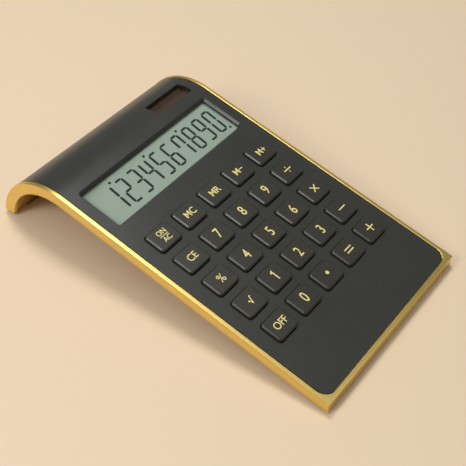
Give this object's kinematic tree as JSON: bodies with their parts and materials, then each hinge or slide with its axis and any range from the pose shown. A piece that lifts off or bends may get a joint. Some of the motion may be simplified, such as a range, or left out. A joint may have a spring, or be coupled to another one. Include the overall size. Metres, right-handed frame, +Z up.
{
  "type": "desktop calculator",
  "caption": "Slim desktop calculator whose slab rolls over into a leg at the display end, with a gold rim, black face and pressable keys.",
  "frame": {"origin": "on the table, below the middle of the body", "axes": "+X across the body to the right, +Y along the body from the user towards the display, +Z up"},
  "size_m": [0.102, 0.1758, 0.0308],
  "materials": {
    "gold_frame": "gold-coloured plating, satin gloss",
    "gold_cover": "gold-coloured lacquer, satin",
    "black_panel": "fine matt black",
    "black_key": "matt black with pale gold printing",
    "clear_lens": "clear, glossy",
    "lcd": "greenish grey, satin",
    "white_foam": "soft foam",
    "ribbon_film": "printed film",
    "smoked_window": "smoked, glossy",
    "solar_cell": "dark brown amorphous silicon on glass",
    "red_wire": "insulation",
    "black_wire": "insulation",
    "grey_silicone": "silicone rubber",
    "carbon_rubber": "carbon-loaded rubber",
    "circuit_board": "phenolic laminate",
    "black_resin": "epoxy resin",
    "tan_ceramic": "fired ceramic",
    "cell_steel": "nickel-plated steel",
    "spring_metal": "nickel-plated spring strip",
    "screw_steel": "zinc-plated steel",
    "black_rubber": "rubber"
  },
  "bodies": {
    "housing": {"frame": "gold_frame", "back_cover": "gold_cover", "battery_door": "gold_cover", "face_panel": "black_panel", "display_lens": "clear_lens", "lcd_glass": "lcd", "lcd_backing": "white_foam", "lcd_ribbon": "ribbon_film", "solar_window": "smoked_window", "solar_cell": "solar_cell", "solar_lead_positive": "red_wire", "solar_lead_negative": "black_wire", "key_mat": "grey_silicone", "contact_pills": "carbon_rubber", "circuit_board": "circuit_board", "chip_blob": "black_resin", "chip_capacitors": "tan_ceramic", "clamp_diode": "black_resin", "battery_cell": "cell_steel", "battery_contact_negative": "spring_metal", "battery_contact_positive": "spring_metal", "battery_door_screw": "screw_steel", "case_screws": "screw_steel", "board_screws": "screw_steel", "front_feet": "black_rubber", "rear_feet": "black_rubber"},
    "key_on_ac": {"key_on_ac": "black_key"},
    "key_mc": {"key_mc": "black_key"},
    "key_mr": {"key_mr": "black_key"},
    "key_m_minus": {"key_m_minus": "black_key"},
    "key_m_plus": {"key_m_plus": "black_key"},
    "key_ce": {"key_ce": "black_key"},
    "key_7": {"key_7": "black_key"},
    "key_8": {"key_8": "black_key"},
    "key_9": {"key_9": "black_key"},
    "key_divide": {"key_divide": "black_key"},
    "key_percent": {"key_percent": "black_key"},
    "key_4": {"key_4": "black_key"},
    "key_5": {"key_5": "black_key"},
    "key_6": {"key_6": "black_key"},
    "key_multiply": {"key_multiply": "black_key"},
    "key_square_root": {"key_square_root": "black_key"},
    "key_1": {"key_1": "black_key"},
    "key_2": {"key_2": "black_key"},
    "key_3": {"key_3": "black_key"},
    "key_minus": {"key_minus": "black_key"},
    "key_off": {"key_off": "black_key"},
    "key_0": {"key_0": "black_key"},
    "key_decimal_point": {"key_decimal_point": "black_key"},
    "key_equals": {"key_equals": "black_key"},
    "key_plus": {"key_plus": "black_key"}
  },
  "joints": [
    {"name": "key_on_ac_press", "type": "slide", "parent": "housing", "child": "key_on_ac", "axis": [0, 0.1736, -0.9848], "range_m": [0, 0.0008], "stiffness_N_per_m": 600, "deforming": ["key_mat", "contact_pills"]},
    {"name": "key_mc_press", "type": "slide", "parent": "housing", "child": "key_mc", "axis": [0, 0.1736, -0.9848], "range_m": [0, 0.0008], "stiffness_N_per_m": 600, "deforming": ["key_mat", "contact_pills"]},
    {"name": "key_mr_press", "type": "slide", "parent": "housing", "child": "key_mr", "axis": [0, 0.1736, -0.9848], "range_m": [0, 0.0008], "stiffness_N_per_m": 600, "deforming": ["key_mat", "contact_pills"]},
    {"name": "key_m_minus_press", "type": "slide", "parent": "housing", "child": "key_m_minus", "axis": [0, 0.1736, -0.9848], "range_m": [0, 0.0008], "stiffness_N_per_m": 600, "deforming": ["key_mat", "contact_pills"]},
    {"name": "key_m_plus_press", "type": "slide", "parent": "housing", "child": "key_m_plus", "axis": [0, 0.1736, -0.9848], "range_m": [0, 0.0008], "stiffness_N_per_m": 600, "deforming": ["key_mat", "contact_pills"]},
    {"name": "key_ce_press", "type": "slide", "parent": "housing", "child": "key_ce", "axis": [0, 0.1736, -0.9848], "range_m": [0, 0.0008], "stiffness_N_per_m": 600, "deforming": ["key_mat", "contact_pills"]},
    {"name": "key_7_press", "type": "slide", "parent": "housing", "child": "key_7", "axis": [0, 0.1736, -0.9848], "range_m": [0, 0.0008], "stiffness_N_per_m": 600, "deforming": ["key_mat", "contact_pills"]},
    {"name": "key_8_press", "type": "slide", "parent": "housing", "child": "key_8", "axis": [0, 0.1736, -0.9848], "range_m": [0, 0.0008], "stiffness_N_per_m": 600, "deforming": ["key_mat", "contact_pills"]},
    {"name": "key_9_press", "type": "slide", "parent": "housing", "child": "key_9", "axis": [0, 0.1736, -0.9848], "range_m": [0, 0.0008], "stiffness_N_per_m": 600, "deforming": ["key_mat", "contact_pills"]},
    {"name": "key_divide_press", "type": "slide", "parent": "housing", "child": "key_divide", "axis": [0, 0.1736, -0.9848], "range_m": [0, 0.0008], "stiffness_N_per_m": 600, "deforming": ["key_mat", "contact_pills"]},
    {"name": "key_percent_press", "type": "slide", "parent": "housing", "child": "key_percent", "axis": [0, 0.1736, -0.9848], "range_m": [0, 0.0008], "stiffness_N_per_m": 600, "deforming": ["key_mat", "contact_pills"]},
    {"name": "key_4_press", "type": "slide", "parent": "housing", "child": "key_4", "axis": [0, 0.1736, -0.9848], "range_m": [0, 0.0008], "stiffness_N_per_m": 600, "deforming": ["key_mat", "contact_pills"]},
    {"name": "key_5_press", "type": "slide", "parent": "housing", "child": "key_5", "axis": [0, 0.1736, -0.9848], "range_m": [0, 0.0008], "stiffness_N_per_m": 600, "deforming": ["key_mat", "contact_pills"]},
    {"name": "key_6_press", "type": "slide", "parent": "housing", "child": "key_6", "axis": [0, 0.1736, -0.9848], "range_m": [0, 0.0008], "stiffness_N_per_m": 600, "deforming": ["key_mat", "contact_pills"]},
    {"name": "key_multiply_press", "type": "slide", "parent": "housing", "child": "key_multiply", "axis": [0, 0.1736, -0.9848], "range_m": [0, 0.0008], "stiffness_N_per_m": 600, "deforming": ["key_mat", "contact_pills"]},
    {"name": "key_square_root_press", "type": "slide", "parent": "housing", "child": "key_square_root", "axis": [0, 0.1736, -0.9848], "range_m": [0, 0.0008], "stiffness_N_per_m": 600, "deforming": ["key_mat", "contact_pills"]},
    {"name": "key_1_press", "type": "slide", "parent": "housing", "child": "key_1", "axis": [0, 0.1736, -0.9848], "range_m": [0, 0.0008], "stiffness_N_per_m": 600, "deforming": ["key_mat", "contact_pills"]},
    {"name": "key_2_press", "type": "slide", "parent": "housing", "child": "key_2", "axis": [0, 0.1736, -0.9848], "range_m": [0, 0.0008], "stiffness_N_per_m": 600, "deforming": ["key_mat", "contact_pills"]},
    {"name": "key_3_press", "type": "slide", "parent": "housing", "child": "key_3", "axis": [0, 0.1736, -0.9848], "range_m": [0, 0.0008], "stiffness_N_per_m": 600, "deforming": ["key_mat", "contact_pills"]},
    {"name": "key_minus_press", "type": "slide", "parent": "housing", "child": "key_minus", "axis": [0, 0.1736, -0.9848], "range_m": [0, 0.0008], "stiffness_N_per_m": 600, "deforming": ["key_mat", "contact_pills"]},
    {"name": "key_off_press", "type": "slide", "parent": "housing", "child": "key_off", "axis": [0, 0.1736, -0.9848], "range_m": [0, 0.0008], "stiffness_N_per_m": 600, "deforming": ["key_mat", "contact_pills"]},
    {"name": "key_0_press", "type": "slide", "parent": "housing", "child": "key_0", "axis": [0, 0.1736, -0.9848], "range_m": [0, 0.0008], "stiffness_N_per_m": 600, "deforming": ["key_mat", "contact_pills"]},
    {"name": "key_decimal_point_press", "type": "slide", "parent": "housing", "child": "key_decimal_point", "axis": [0, 0.1736, -0.9848], "range_m": [0, 0.0008], "stiffness_N_per_m": 600, "deforming": ["key_mat", "contact_pills"]},
    {"name": "key_equals_press", "type": "slide", "parent": "housing", "child": "key_equals", "axis": [0, 0.1736, -0.9848], "range_m": [0, 0.0008], "stiffness_N_per_m": 600, "deforming": ["key_mat", "contact_pills"]},
    {"name": "key_plus_press", "type": "slide", "parent": "housing", "child": "key_plus", "axis": [0, 0.1736, -0.9848], "range_m": [0, 0.0008], "stiffness_N_per_m": 600, "deforming": ["key_mat", "contact_pills"]}
  ]
}
